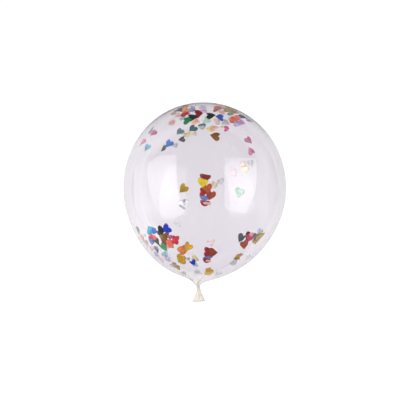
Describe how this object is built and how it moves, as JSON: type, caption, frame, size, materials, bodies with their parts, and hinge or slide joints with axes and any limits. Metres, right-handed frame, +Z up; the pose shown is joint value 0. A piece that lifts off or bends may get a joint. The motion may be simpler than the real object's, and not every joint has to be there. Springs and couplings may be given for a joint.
{
  "type": "confetti balloon",
  "caption": "Clear round latex balloon, tied off in a knot with a short flared tail, holding heart-shaped foil confetti. It lies on its side on a small flat spot.",
  "frame": {"origin": "on the small flat spot that the balloon lies on, straight below its widest ring", "axes": "+Y along the balloon's own axis towards its crown, so the knot and tail point to -Y; +Z up; +X to the right seen from above with the crown away"},
  "size_m": [0.28, 0.344, 0.2779],
  "materials": {
    "clear_latex": "clear, faintly milky film, glossy",
    "cream_latex": "unstretched latex, satin",
    "foil_confetti": "metallised film in many colours"
  },
  "bodies": {
    "root": {"balloon": "clear_latex"}
  },
  "joints": []
}
